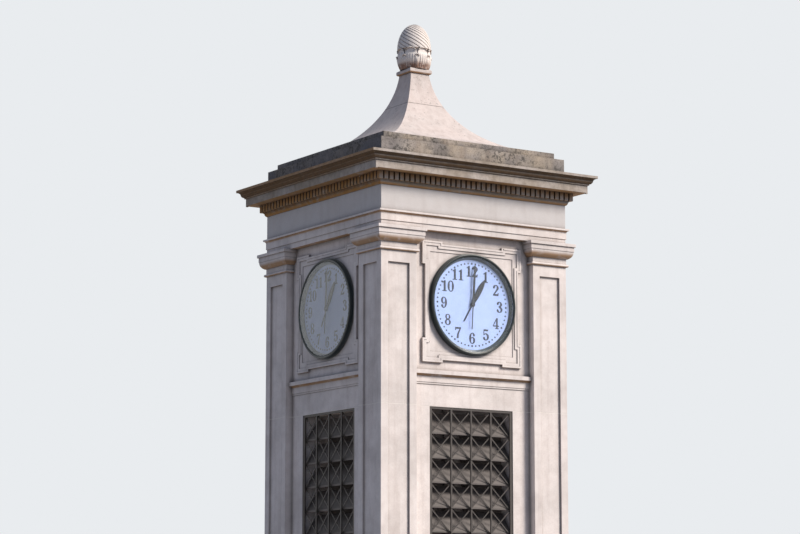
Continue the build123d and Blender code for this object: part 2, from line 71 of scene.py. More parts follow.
# Places of the frames, the lattices and the finial
PANEL_FRONT = -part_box("clock_frames")[0].y
LATTICE_LOW, LATTICE_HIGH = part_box("grille_front")
CONE_LOW, CONE_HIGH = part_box("finial_cone")
CUP_LOW, CUP_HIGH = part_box("finial_cup")
CUP_RADIUS = (CUP_HIGH.x - CUP_LOW.x) / 2
CUP_HEIGHT = CUP_HIGH.z - CUP_LOW.z

# Level joints of the walls and the pedestal, and how far its upright joints stand from the middle
WALL_BEDS = (2.26, LATTICE_HIGH.z)
PEDESTAL_BED = 0.685
PEDESTAL_UPRIGHT = 0.42

# Plugs of old fixings: millimetres right, up and out from the middle of a clock's frame
PLUG_SPOTS = ((-400, -318, -10), (-306, -414, -10), (300, 463, 0))

# A lattice's border, and how many panels its uprights and its crossings make
LATTICE_BORDER = 18 * MM
LATTICE_COLUMNS = 4
LATTICE_ROWS = 8

# Where the photograph was taken from, in metres, degrees and, for the lens, millimetres
CAMERA_PLACE = (-10.618, -16.199, 1.600)
CAMERA_PITCH = 98.881
CAMERA_TURN = -32.902
CAMERA_LENS = 108.78


def linear(code):
    """Linear RGB of an sRGB hex colour."""
    channels = [int(code[i:i + 2], 16) / 255 for i in (1, 3, 5)]
    return tuple(c / 12.92 if c <= 0.04045 else ((c + 0.055) / 1.055) ** 2.4 for c in channels)


def colour_setting(name, description, code):
    """A colour that the user may change."""
    return FloatVectorProperty(
        name=name, description=description, subtype="COLOR", size=3, min=0, max=1, default=linear(code)
    )


def length_setting(name, description, millimetres):
    """A length that the user may change."""
    return FloatProperty(
        name=name, description=description, subtype="DISTANCE", unit="LENGTH", min=0, default=millimetres * MM
    )


def angle_setting(name, description, degrees):
    """An angle that the user may change."""
    return FloatProperty(
        name=name, description=description, subtype="ANGLE", unit="ROTATION", default=math.radians(degrees)
    )


def count_setting(name, description, count):
    """A number of pieces that the user may change."""
    return IntProperty(name=name, description=description, default=count, min=3)


def strength_setting(name, description, strength):
    """A strength of light that the user may change."""
    return FloatProperty(name=name, description=description, default=strength, min=0)


class StoneLooks(bpy.types.PropertyGroup):
    """Colours of the stone."""

    face: colour_setting("Dressed face", "Clean limestone of the piers and walls", "#F0E7E3")
    stain: colour_setting("Stain", "Patches where rain has greyed the limestone", "#D0C8C4")
    # Its grey is partly painted shade
    frieze: colour_setting("Frieze", "Smooth stone of the frieze", "#D2CECD")
    # Laid on undersides, this brown is also painted shade and warm light reflected from below
    crust: colour_setting("Crust", "Brown crust on undersides that no rain reaches", "#A2743C")
    # The dentils' brown-grey is partly painted shade from the corona above them
    bed: colour_setting("Dentils", "Brown-grey stone of the dentils and their band", "#A79D8F")
    corona: colour_setting("Cornice", "Mottled brown-grey stone of the cornice", "#A99D90")
    parapet: colour_setting("Parapet", "Buff stone of the blocking course", "#BAAC9B")
    lichen: colour_setting("Lichen", "Dark growth on the stone that faces the sky", "#45433F")
    # Also laid as painted shade on the parapet's left-facing side
    slate_growth: colour_setting("Damp growth", "Blue-grey film where the stone stays damp", "#555B69")
    roof: colour_setting("Roof", "Pinkish buff stone of the roof", "#D9CDC8")
    finial: colour_setting("Finial", "Carved stone of the finial", "#F5EDE7")
    # Brown laid towards the foot of the cup
    rust: colour_setting("Cup foot", "Brown stain round the foot of the cup", "#7C5038")
    # Sooty dark colour, also painted as shade in hollows and under mouldings
    grime: colour_setting("Grime", "Soot in joints and hollows", "#3D342C")
    mortar: colour_setting("Mortar", "Pale mortar of the joints", "#F4EEE6")
    joint_width: length_setting("Joint", "Width of a mortar joint", 5)


class FinialLooks(bpy.types.PropertyGroup):
    """Sizes of the carving on the finial."""

    falling_rows: count_setting("Falling rows", "Rows of scales round the cone that fall to the right", 16)
    rising_rows: count_setting("Rising rows", "Rows of scales round the cone that rise to the right", 60)
    groove_depth: length_setting("Groove depth", "Depth of the grooves between the scales", 6)
    leaves: count_setting("Leaves", "Number of leaves round the cup", 8)
    leaf_thickness: length_setting("Leaf thickness", "Thickness of a leaf", 7)
    leaf_curl: length_setting("Leaf curl", "Radius of the roll at the tip of a leaf", 5)
    leaf_hollow: length_setting("Leaf hollow", "Depth of the hollow under the tip of a leaf", 11)
    rib_height: length_setting("Rib height", "How far the ribs stand out of a leaf", 2.2)


class ClockLooks(bpy.types.PropertyGroup):
    """Sizes and colours of the dials."""

    # The blue is a painted sky reflection: the dial itself is white
    enamel: colour_setting("Enamel", "Blue-white of the dial", "#97AAD9")
    paint: colour_setting("Dial paint", "Numerals and minute marks", "#0D1530")
    hands: colour_setting("Hands", "Paint of the hands", "#0F1420")
    bezel: colour_setting("Bezel", "Paint of the bezel", "#283234")
    numeral_height: length_setting("Numeral height", "Height of the numerals", 87)
    numeral_radius: length_setting("Numeral radius", "From the middle of the dial to a numeral's middle", 263)
    dot_radius: length_setting("Dot circle", "Radius of the circle of minute dots", 324)
    minute_dot: length_setting("Minute dot", "Radius of a minute dot", 7.2)
    hour_dot: length_setting("Hour dot", "Radius of the dot at an hour", 8.6)
    paint_depth: length_setting("Paint depth", "How far the marks stand off the enamel", 0.4)
    flange_width: length_setting("Flange", "How far the bezel's foot stands out under its rim", 6)
    rim_radius: length_setting("Rim", "Radius of the bezel's rolled rim", 9)


class LatticeLooks(bpy.types.PropertyGroup):
    """Colours of the lattices and louvres, and their rivets."""

    # Both colours are darkened partly as painted shade
    bars: colour_setting("Bars", "Weathered bronze paint of the bars", "#423C39")
    blades: colour_setting("Blades", "Weathered brown paint of the louvre blades", "#665F5C")
    rivet_radius: length_setting("Rivet", "Radius of a rivet's head", 7)


class StudioLooks(bpy.types.PropertyGroup):
    """Lamps, world and floor."""

    sun_strength: strength_setting("Key light", "Strength of the key light", 4.45)
    sky_strength: strength_setting("Fill light", "Strength of the even light from all round", 0.31)
    back_strength: strength_setting("Back light", "Strength of the back light", 1.6)
    sun_turn: angle_setting("Key turn", "Where the key light stands, to the right of the front", 42)
    sun_rise: angle_setting("Key rise", "Height of the key light above the horizon", 36)
    sun_spread: angle_setting("Key spread", "Breadth of the key light, which softens its shadows", 20)
    back_turn: angle_setting("Back turn", "Where the back light stands, to the right of the front", 160)
    back_rise: angle_setting("Back rise", "Height of the back light above the horizon", 30)
    back_spread: angle_setting("Back spread", "Breadth of the back light, which softens its shadows", 40)
    sun_colour: colour_setting("Lamp colour", "White of the key light and the back light", "#FFF6EC")
    sky_colour: colour_setting("Fill colour", "Cool white of the fill light", "#BBD0F7")
    backdrop: colour_setting("Backdrop", "Pale grey behind the tower", "#E9ECEF")
    floor: colour_setting("Floor", "Pale floor", "#CDCCC9")
    floor_bounce: colour_setting("Floor bounce", "Dimmer floor that lights the tower from below", "#87898C")


def add_node(material, kind, inputs=None, **settings):
    """Adds one node: settings are its properties, inputs its values or what links to it, by socket."""
    tree = material.node_tree
    node = tree.nodes.new("ShaderNode" + kind)
    for name, value in settings.items():
        setattr(node, name, value)
    for key, value in (inputs or {}).items():
        sockets = [s for s in node.inputs if s.enabled]
        socket = sockets[key] if isinstance(key, int) else next(s for s in sockets if s.name == key)
        if isinstance(value, bpy.types.Node):
            value = next(s for s in value.outputs if s.enabled)
        if isinstance(value, bpy.types.NodeSocket):
            tree.links.new(value, socket)
        elif socket.type == "RGBA":
            socket.default_value = (*value[:3], 1)
        else:
            socket.default_value = value
    return node


def new_material(name, colour):
    """An empty material with its plain colour for solid view."""
    material = bpy.data.materials.new(name)
    material.use_nodes = True
    material.node_tree.nodes.clear()
    material.diffuse_color = (*colour[:3], 1)
    return material


def coat(material, under, over, *masks, share=1.0, blend="MIX"):
    """Lays one colour over another where all the masks meet, as strongly as the share says."""
    cover = share
    for mask in masks:
        cover = add_node(material, "Math", {0: mask, 1: cover}, operation="MULTIPLY")
    colours = {"Factor": cover, "A": under, "B": over}
    return add_node(material, "Mix", colours, data_type="RGBA", blend_type=blend)


def blotches(material, place, size_mm, low, high, stretch=(1, 1, 1), detail=3.0, shift=(0, 0, 0)):
    """A soft mask of patches of about the size given: low and high are the noise levels of their edges."""
    spread = add_node(material, "Mapping", {"Vector": place, "Scale": stretch, "Location": shift})
    noise = add_node(
        material, "TexNoise",
        {"Vector": spread, "Scale": 1 / (size_mm * MM), "Detail": detail, "Roughness": 0.6},
    )
    return add_node(
        material, "MapRange", {"Value": noise, "From Min": low, "From Max": high},
        interpolation_type="SMOOTHSTEP",
    )


def crevices(material, reach_mm, low=0.35, high=0.95):
    """A mask that is one deep in a hollow and nothing on an open face; it is used to paint shade into
    hollows.
    """
    shelter = add_node(material, "AmbientOcclusion", {"Distance": reach_mm * MM}, samples=8)
    return add_node(
        material, "MapRange",
        {"Value": shelter.outputs["AO"], "From Min": low, "From Max": high, "To Min": 1.0, "To Max": 0.0},
    )


def worn_edges(material, rounded):
    """A mask along the arrises, where the rounded normal leaves the flat one."""
    flat = add_node(material, "NewGeometry").outputs["Normal"]
    likeness = add_node(material, "VectorMath", {0: rounded, 1: flat}, operation="DOT_PRODUCT")
    levels = {"Value": likeness.outputs["Value"], "From Min": 0.995, "From Max": 0.85}
    return add_node(material, "MapRange", levels)


def facing(material, direction, low, high):
    """A mask of the surfaces that face along a direction."""
    flat = add_node(material, "NewGeometry").outputs["True Normal"]
    toward = add_node(material, "VectorMath", {0: flat, 1: direction}, operation="DOT_PRODUCT")
    levels = {"Value": toward.outputs["Value"], "From Min": low, "From Max": high}
    return add_node(material, "MapRange", levels)


def between_levels(material, place, start, end):
    """A mask that grows from nothing at one height to one at the other."""
    axes = add_node(material, "SeparateXYZ", {"Vector": place})
    return add_node(
        material, "MapRange", {"Value": axes.outputs["Z"], "From Min": start, "From Max": end},
        interpolation_type="SMOOTHSTEP",
    )


def joint_lines(material, place, levels, uprights, width):
    """A mask of level joints at these heights, and of upright ones this far from the middle both ways."""
    axes = add_node(material, "SeparateXYZ", {"Vector": place})
    mask = None
    lines = [("Z", level) for level in levels]
    lines += [(axis, side * upright) for axis in "XY" for upright in uprights for side in (-1, 1)]
    for axis, at in lines:
        line = add_node(material, "Math", {0: axes.outputs[axis], 1: at, 2: width / 2}, operation="COMPARE")
        mask = add_node(material, "Math", {0: mask, 1: line}, operation="MAXIMUM") if mask else line
    return mask


def limestone(name, base, looks, stains=0.6, streaks=0.3, sooty_hollow_shade=0.7, crust=0.8, levels=(), uprights=(),
              joint=None, growth=None, relief_mm=0.7, reach_mm=45):
    """Dressed limestone: sawn and rubbed calcite grains, so matt, pale and a little uneven.
    Rain greys it in broad patches and upright streaks, and a brown crust stays where no rain comes,
    laid on the undersides, where it also stands for painted shade and warm reflected light.
    Its hollows are darkened by ambient occlusion: sooty dirt together with painted shade.
    Wear keeps its arrises pale. Growth lays a stone's own stains, and on some stones painted
    shade and light, and joint is the colour between stones, mortar if none is given."""
    material = new_material(name, base)
    place = add_node(material, "TexCoord").outputs["Object"]
    soft_arris = add_node(material, "Bevel", {"Radius": 3 * MM}, samples=4)

    # Broad patches, a mottle of hand size, and grain drawn at 7 mm, where 1 mm is real, so that it shows
    patches = blotches(material, place, 420, 0.38, 0.68)
    mottle = blotches(material, place, 70, 0.35, 0.7, shift=(3, 1, 2))
    grain = add_node(material, "TexNoise", {"Vector": place, "Scale": 1 / (7 * MM), "Detail": 4.0})
    drips = blotches(material, place, 60, 0.46, 0.75, stretch=(1, 1, 0.06), detail=2.0)

    colour = coat(material, base, looks.stain, patches, share=stains)
    colour = coat(material, colour, looks.stain, mottle, share=0.35 * stains, blend="MULTIPLY")
    colour = coat(material, colour, looks.stain, drips, share=streaks, blend="MULTIPLY")
    speck = add_node(
        material, "MapRange",
        {"Value": grain, "From Min": 0.3, "From Max": 0.7, "To Min": 0.93, "To Max": 1.05},
    )
    colour = coat(material, colour, speck, blend="MULTIPLY")

    # Undersides get the brown crust, laid on as painted shade and warm reflected light as well
    under = facing(material, (0, 0, -1), 0.1, 0.5)
    uneven = blotches(material, place, 90, 0.15, 0.5, detail=4.0)
    colour = coat(material, colour, looks.crust, under, uneven, share=crust)
    if growth:
        colour = growth(material, place, colour, looks)
    # Painted shade, with sooty dirt, darkens the hollows by ambient occlusion
    colour = coat(material, colour, looks.grime, crevices(material, reach_mm), share=sooty_hollow_shade, blend="MULTIPLY")
    pale = [min(1, c * 1.12) for c in base]
    colour = coat(material, colour, pale, worn_edges(material, soft_arris), share=0.35)

    # The surface follows mottle and grain, and is raked out at the joints
    height = add_node(material, "Math", {0: mottle, 1: 0.6, 2: grain}, operation="MULTIPLY_ADD")
    if levels or uprights:
        lines = joint_lines(material, place, levels, uprights, looks.joint_width)
        colour = coat(material, colour, joint or looks.mortar, lines, share=0.6)
        height = add_node(material, "Math", {0: lines, 1: -3.0, 2: height}, operation="MULTIPLY_ADD")
    relief = add_node(
        material, "Bump",
        {"Height": height, "Normal": soft_arris, "Strength": 0.6, "Distance": relief_mm * MM},
    )
    shader = add_node(
        material, "BsdfPrincipled",
        {"Base Color": colour, "Normal": relief, "Roughness": 0.88, "Specular IOR Level": 0.3},
    )
    add_node(material, "OutputMaterial", {"Surface": shader})
    return material


def dress(material, *nodes):
    """Gives a material to nodes of the frame."""
    for node in nodes:
        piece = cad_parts[node]
        piece.data.materials.clear()
        piece.data.materials.append(material)


def add_piece(name, shape, material, body="tower", replaces=(), smooth_angle=None):
    """Makes an object of a bmesh, rides it on its body and hides the parts that it replaces."""
    mesh = bpy.data.meshes.new(name)
    shape.to_mesh(mesh)
    shape.free()
    mesh.materials.append(material)
    if smooth_angle:
        mesh.shade_smooth()
        mesh.set_sharp_from_angle(angle=math.radians(smooth_angle))
    piece = bpy.data.objects.new(name, mesh)
    bpy.context.scene.collection.objects.link(piece)
    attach(piece, body)
    if replaces:
        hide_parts(*replaces)
    return piece


def on_face(turn, distance, height=CLOCK_HEIGHT):
    """Place of a piece drawn flat, with x to the right, y up and z outward, on one face of the tower."""
    return (
        Matrix.Rotation(math.radians(turn), 4, "Z")
        @ Matrix.Translation((0, -distance, height))
        @ Matrix.Rotation(math.radians(90), 4, "X")
    )


def turned(outline, steps, closed=False):
    """A shape turned about the upright axis: its outline runs from axis to axis, or is closed on itself."""
    shape = bmesh.new()
    line = [shape.verts.new((radius, 0, height)) for radius, height in outline]
    edges = [shape.edges.new(pair) for pair in zip(line, line[1:])]
    if closed:
        edges.append(shape.edges.new((line[-1], line[0])))
    bmesh.ops.spin(shape, geom=line + edges, axis=(0, 0, 1), angle=math.tau, steps=steps, use_merge=True)
    bmesh.ops.remove_doubles(shape, verts=shape.verts, dist=0.01 * MM)
    bmesh.ops.recalc_face_normals(shape, faces=shape.faces)
    return shape


def set_out(shape, places, onto=None):
    """Copies of a shape at all the places, in one mesh, and the shape itself is used up."""
    pattern = bpy.data.meshes.new("pattern")
    shape.to_mesh(pattern)
    shape.free()
    whole = onto or bmesh.new()
    for place in places:
        before = len(whole.verts)
        whole.from_mesh(pattern)
        whole.verts.ensure_lookup_table()
        bmesh.ops.transform(whole, matrix=place, verts=whole.verts[before:])
    bpy.data.meshes.remove(pattern)
    return whole


def arc(centre, radius, start, end, steps):
    """Points along an arc, its angles in degrees."""
    angles = [math.radians(start + (end - start) * i / steps) for i in range(steps + 1)]
    return [(centre[0] + radius * math.cos(a), centre[1] + radius * math.sin(a)) for a in angles]


def smooth(value):
    """Nothing below zero, one above one, and an even slope between them."""
    value = min(1, max(0, value))
    return value * value * (3 - 2 * value)


class TOWER_OT_dress_walls(bpy.types.Operator):
    """Finish the pedestal, piers, walls, frames and sills in dressed limestone"""

    bl_idname = "tower.dress_walls"
    bl_label = "Dress the walls"

    def execute(self, context):
        looks = context.scene.stone_looks

        # Limestone rubbed smooth in tall blocks: broad pale faces, with a fine mortar line at each bed
        piers = limestone("dressed_limestone_piers", looks.face, looks, levels=WALL_BEDS)
        dress(
            piers, "pier_front_left", "pier_front_right", "pier_back_right", "pier_back_left",
            *[f"wall_{face}" for face in FACES],
        )

        # The same stone moulded, each piece cut from one block: no joints, and painted shade with sooty dirt
        # in its hollows
        walls = limestone("dressed_limestone", looks.face, looks)
        dress(
            walls, "pier_bases", "pier_capitals", "clock_frames", "clock_sills", "opening_sills", "architrave"
        )

        # Limestone splashed from the ground: more streaks, and joints between its blocks
        foot = limestone("dressed_limestone_foot", looks.face, looks, streaks=0.55, uprights=(0,))
        dress(foot, "plinth", "base_moulding")
        blocks = limestone(
            "dressed_limestone_blocks", looks.face, looks, streaks=0.55,
            levels=(PEDESTAL_BED,), uprights=(PEDESTAL_UPRIGHT,),
        )
        dress(blocks, "pedestal", "pedestal_cap")

        # Limestone rubbed finest and kept dry by the cornice: even, and a little greyer, a grey that is
        # partly painted shade
        frieze = limestone("dressed_limestone_frieze", looks.frieze, looks, stains=0.35, streaks=0.12)
        dress(frieze, "frieze")

        # Lead run into the holes of old fixings, on each eared frame: small dull grey discs
        plug = bmesh.new()
        bmesh.ops.create_cone(
            plug, cap_ends=True, segments=16, radius1=5 * MM, radius2=4 * MM, depth=1.2 * MM
        )
        places = [
            on_face(turn, PANEL_FRONT) @ Matrix.Translation(Vector(spot) * MM)
            for turn in FACES.values() for spot in PLUG_SPOTS
        ]
        lead = painted("weathered_lead", linear("#4A4641"), 0.7)
        add_piece("fixing_plugs", set_out(plug, places), lead, smooth_angle=30)
        return {"FINISHED"}


def parapet_growth(material, place, colour, looks):
    """Lichen in spots a few centimetres across, thickest towards the sky, damp film in broad patches, and
    blue-grey painted shade on the left-facing side.
    """
    spots = blotches(material, place, 26, 0.50, 0.60, detail=5.0)
    small = blotches(material, place, 9, 0.56, 0.64, detail=3.0)
    cover = blotches(material, place, 240, 0.36, 0.60, detail=4.0, shift=(5, 2, 7))
    damp = blotches(material, place, 380, 0.40, 0.62, detail=3.0, shift=(1, 9, 4))
    sky = facing(material, (0, 0, 1), -0.4, 0.8)
    shade = facing(material, (-1, 0, 0), 0.2, 0.9)
    colour = coat(material, colour, looks.slate_growth, damp, share=0.5)
    # Painted shade: the left-facing side is laid blue-grey
    colour = coat(material, colour, looks.slate_growth, shade, share=0.5)
    colour = coat(material, colour, looks.lichen, spots, cover, share=0.75)
    colour = coat(material, colour, looks.lichen, small, share=0.55)
    return coat(material, colour, looks.lichen, sky, cover, share=0.7)


def cornice_growth(material, place, colour, looks):
    """Soot and painted shade on the moulding under the top of the cornice where it leans down,
    ochre crust and painted warm reflected light where it faces left, and lichen on its slope.
    """
    low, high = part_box("cornice")
    fillet = high.z - 66 * MM
    moulding = between_levels(material, place, low.z + 60 * MM, low.z + 76 * MM)
    leaning = facing(material, (0, 0, -1), 0.02, 0.3)
    away = facing(material, (-1, 0, 0), 0.2, 0.9)
    # Painted warm reflected light, with crust, on the left-facing moulding
    colour = coat(material, colour, looks.crust, away, moulding, share=0.6)
    # Painted shade, with soot, on the moulding that leans downward
    colour = coat(material, colour, looks.grime, moulding, leaning, share=0.72)
    mottle = blotches(material, place, 45, 0.42, 0.62, detail=5.0, shift=(2, 6, 1))
    colour = coat(material, colour, looks.grime, mottle, share=0.22)
    top = between_levels(material, place, fillet, fillet + 10 * MM)
    sky = facing(material, (0, 0, 1), 0.3, 0.8)
    return coat(material, colour, looks.lichen, top, sky, share=0.6)


def dentil_growth(material, place, colour, looks):
    """Ochre in the upper half of the dentils, under the corona, and on their left-facing sides: crust,
    together with painted shade and warm reflected light.
    """
    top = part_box("bed_moulding")[1].z
    upper = between_levels(material, place, top - 70 * MM, top - 10 * MM)
    uneven = blotches(material, place, 60, 0.2, 0.6, detail=4.0)
    away = facing(material, (-1, 0, 0), 0.4, 0.9)
    colour = coat(material, colour, looks.crust, away, uneven, share=0.85)
    return coat(material, colour, looks.crust, upper, uneven, share=0.8)


class TOWER_OT_dress_cornice(bpy.types.Operator):
    """Finish the dentils, cornice and blocking course, which the weather has stained"""

    bl_idname = "tower.dress_cornice"
    bl_label = "Dress the cornice"

    def execute(self, context):
        looks = context.scene.stone_looks

        # Limestone cut into dentils that no rain washes: dark gaps of painted shade with sooty dirt, under
        # ochre crust with painted shade and warm reflected light
        bed = limestone("dentil_limestone", looks.bed, looks, sooty_hollow_shade=0.85, growth=dentil_growth)
        dress(bed, "bed_moulding")

        # Limestone moulded in long runs, open to the weather: brown-grey, with painted shade and soot on its
        # moulded upper edge
        cornice = limestone("cornice_limestone", looks.corona, looks, growth=cornice_growth)
        dress(cornice, "cornice")

        # Limestone roughened by the roof's drip: spotted black and blue-grey by growth, and blue-grey painted
        # shade on its left-facing side
        parapet = limestone(
            "parapet_limestone", looks.parapet, looks, stains=0.5, streaks=0.6,
            growth=parapet_growth, relief_mm=1.5,
        )
        dress(parapet, "blocking_course_lower", "blocking_course_upper")
        return {"FINISHED"}


def roof_growth(material, place, colour, looks):
    """A few lichen spots, and a grey foot where the roof's water lingers."""
    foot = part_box("roof_lower")[0].z
    spots = blotches(material, place, 22, 0.58, 0.66, detail=5.0)
    cover = blotches(material, place, 200, 0.42, 0.62, detail=4.0, shift=(5, 2, 7))
    wet = between_levels(material, place, foot + 130 * MM, foot)
    colour = coat(material, colour, looks.lichen, spots, cover, share=0.4)
    return coat(material, colour, looks.slate_growth, wet, cover, share=0.5)


class TOWER_OT_dress_roof(bpy.types.Operator):
    """Finish the flared roof and its collar"""

    bl_idname = "tower.dress_roof"
    bl_label = "Dress the roof"

    def execute(self, context):
        looks = context.scene.stone_looks
        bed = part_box("roof_upper")[0].z

        # Pinkish limestone, tooled and worn by rain: coarser, with one dark open joint
        roof = limestone(
            "roof_limestone", looks.roof, looks, stains=0.7, levels=(bed,), joint=looks.grime,
            growth=roof_growth, relief_mm=1.2,
        )
        dress(roof, "roof_lower", "roof_upper", "roof_collar")
        return {"FINISHED"}


def finial_growth(material, place, colour, looks):
    """Brown that grows towards the foot of the cup, and lichen in spots."""
    towards_foot = between_levels(material, place, CUP_LOW.z + 62 * MM, CUP_LOW.z + 26 * MM)
    uneven = blotches(material, place, 30, 0.2, 0.55, detail=4.0)
    spots = blotches(material, place, 14, 0.58, 0.66, detail=4.0)
    colour = coat(material, colour, looks.rust, towards_foot, uneven, share=0.85)
    return coat(material, colour, looks.stain, spots, share=0.5, blend="MULTIPLY")


def pine_cone(looks):
    """The cone, turned as an egg, then cut by two families of spiral grooves into scales that lean back."""
    bulge = 7 * MM
    radius = (CONE_HIGH.x - CONE_LOW.x) / 2 + bulge
    rim = CUP_HIGH.z
    tall = CONE_HIGH.z - rim

    # Just under the rim of the cup it draws in, so that the leaves have room round its foot
    foot_rows, egg_rows = 16, 104
    draw_in, lip, run = 16 * MM, 5 * MM, 10 * MM
    levels = [CONE_LOW.z + (rim - CONE_LOW.z) * i / foot_rows for i in range(foot_rows)]
    straight = [(radius - draw_in * smooth((rim - level - lip) / run), level) for level in levels]
    egg = [
        (radius * math.cos(math.pi / 2 * i / egg_rows), rim + tall * math.sin(math.pi / 2 * i / egg_rows))
        for i in range(egg_rows + 1)
    ]
    side = straight + egg
    shape = turned([(0, CONE_LOW.z), *side], 6 * looks.rising_rows)

    # Way travelled up the cone, where a scale counts for less as the cone narrows
    slack = 40 * MM
    travel = [0.0]
    for (r0, z0), (r1, z1) in zip(side, side[1:]):
        step = math.hypot(r1 - r0, z1 - z0)
        travel.append(travel[-1] + step * (radius + slack) / ((r0 + r1) / 2 + slack))
    heights = [z for _, z in side]

    # The rows fall at 32 degrees and rise at 58, and their grooves are cut less deep towards the tip
    fall_pitch = math.tau * radius / looks.falling_rows * math.tan(math.radians(32))
    rise_pitch = math.tau * radius / looks.rising_rows * math.tan(math.radians(58))
    fall_groove, rise_groove = 0.13, 0.3
    tip_reach = 28 * MM
    pushes = []
    for vert in shape.verts:
        out = math.hypot(vert.co.x, vert.co.y)
        if vert.co.z < heights[0] + 0.1 * MM:
            pushes.append(0.0)
            continue
        row = min(bisect_left(heights, vert.co.z - 0.01 * MM), len(travel) - 1)
        turn = math.atan2(vert.co.x, -vert.co.y) / math.tau
        falling = (turn * looks.falling_rows + travel[row] / fall_pitch) % 1
        rising = (turn * looks.rising_rows - travel[row] / rise_pitch) % 1
        across = smooth(min(falling, 1 - falling) / fall_groove)
        beside = smooth(min(rising, 1 - rising) / rise_groove)
        lift = across * (0.7 + 0.3 * beside) * (1 - 0.3 * falling)
        pushes.append(looks.groove_depth * (1 - lift) * smooth(out / tip_reach))
    shape.normal_update()
    for vert, push in zip(shape.verts, pushes):
        vert.co -= vert.normal * push
    return shape


def cup_leaf(looks, half_angle, tall, stand, ribs):
    """One ribbed leaf on the cup: it stands off as far as told, and its tip rolls outward over a hollow."""
    leaf = bmesh.new()
    bmesh.ops.create_grid(leaf, x_segments=6 * ribs, y_segments=48, size=1)
    foot_radius = 0.77 * CUP_RADIUS
    belly_radius = 0.965 * CUP_RADIUS
    belly_height = 0.6 * CUP_HEIGHT
    size = tall / CUP_HEIGHT
    curl = looks.leaf_curl * size
    corner_drop = 0.11 * tall
    seam_depth = 4 * MM
    roll_start = 0.76
    full_bend = math.radians(160)
    for vert in leaf.verts:
        across = vert.co.x
        along = (vert.co.y + 1) / 2
        middle = 1 - 0.75 * across ** 2

        # The wall of the leaf swells up to its belly, and its corners hang lower
        climb = min(1, along / roll_start)
        height = climb * (tall - looks.leaf_thickness - curl - corner_drop * abs(across) ** 2.5)
        swell = math.sin(math.pi / 2 * min(1, height / belly_height))

        # Ribs run up its lower half, a seam sinks along its sides, and a hollow lies below its tip
        rib = looks.rib_height * math.cos(math.pi * ribs * across)
        rib *= smooth(along / 0.12) * smooth((0.6 - along) / 0.2)
        seam = seam_depth * abs(across) ** 12 * smooth((along - 0.3) / 0.3)
        hollow = looks.leaf_hollow * size ** 2 * middle * smooth((height / tall - 0.62) / 0.16)
        radius = foot_radius + (belly_radius - foot_radius) * swell + stand + rib - seam - hollow

        # The tip rolls over, most in the middle
        roll = curl * (0.3 + 0.7 * middle)
        bend = full_bend * (0.45 + 0.55 * middle) * max(0, along - roll_start) / (1 - roll_start)
        radius += roll * (1 - math.cos(bend))
        height += roll * math.sin(bend)
        angle = across * half_angle * (1 - 0.3 * smooth((along - 0.55) / 0.45))
        vert.co = (radius * math.sin(angle), -radius * math.cos(angle), CUP_LOW.z + height)

    # The back of the leaf is its front moved inward, and the two are joined round the edge
    bmesh.ops.recalc_face_normals(leaf, faces=leaf.faces)
    lowest = min(leaf.faces, key=lambda face: face.calc_center_median().z)
    if lowest.normal.y > 0:
        bmesh.ops.reverse_faces(leaf, faces=leaf.faces)
    copied = bmesh.ops.duplicate(leaf, geom=leaf.verts[:] + leaf.edges[:] + leaf.faces[:])["geom"]
    leaf.normal_update()
    for item in copied:
        if isinstance(item, bmesh.types.BMVert):
            item.co -= item.normal * looks.leaf_thickness
    bmesh.ops.bridge_loops(leaf, edges=[edge for edge in leaf.edges if edge.is_boundary])
    bmesh.ops.recalc_face_normals(leaf, faces=leaf.faces)
    return leaf


class TOWER_OT_carve_finial(bpy.types.Operator):
    """Carve the pine cone and its cup of leaves"""

    bl_idname = "tower.carve_finial"
    bl_label = "Carve the finial"

    def execute(self, context):
        stones = context.scene.stone_looks
        looks = context.scene.finial_looks

        # Limestone carved by chisel, washed by rain: pale ridges, and painted shade with sooty dirt in the
        # cuts
        carved = limestone(
            "carved_limestone", stones.finial, stones, stains=0.2, sooty_hollow_shade=0.8, crust=0.4,
            growth=finial_growth, reach_mm=9,
        )
        add_piece(
            "pine_cone", pine_cone(looks), carved,
            replaces=("finial_cone",), smooth_angle=50,
        )

        # The bowl inside the leaves, in shares of the cup, with a ledge that closes it round the cone
        foot, swell, top, ledge = 0.70, 0.18, 0.7, 0.71
        steps = 12
        side = [
            (
                CUP_RADIUS * (foot + swell * math.sin(math.pi / 2 * i / steps)),
                CUP_LOW.z + top * CUP_HEIGHT * i / steps,
            )
            for i in range(steps + 1)
        ]
        cup = turned([(0, CUP_LOW.z), *side, (0, CUP_LOW.z + ledge * CUP_HEIGHT)], 72)

        # Broad leaves side by side, and a narrow low one that stands out between each two
        half_angle = math.pi / looks.leaves
        for leaf, offset in (
            (cup_leaf(looks, 0.985 * half_angle, CUP_HEIGHT, 0, 5), 0),
            (cup_leaf(looks, 0.3 * half_angle, 0.66 * CUP_HEIGHT, 4 * MM, 1), 0.5),
        ):
            turns = [math.tau * (i + offset) / looks.leaves for i in range(looks.leaves)]
            cup = set_out(leaf, [Matrix.Rotation(turn, 4, "Z") for turn in turns], onto=cup)
        add_piece("leaf_cup", cup, carved, replaces=("finial_cup",), smooth_angle=50)
        return {"FINISHED"}


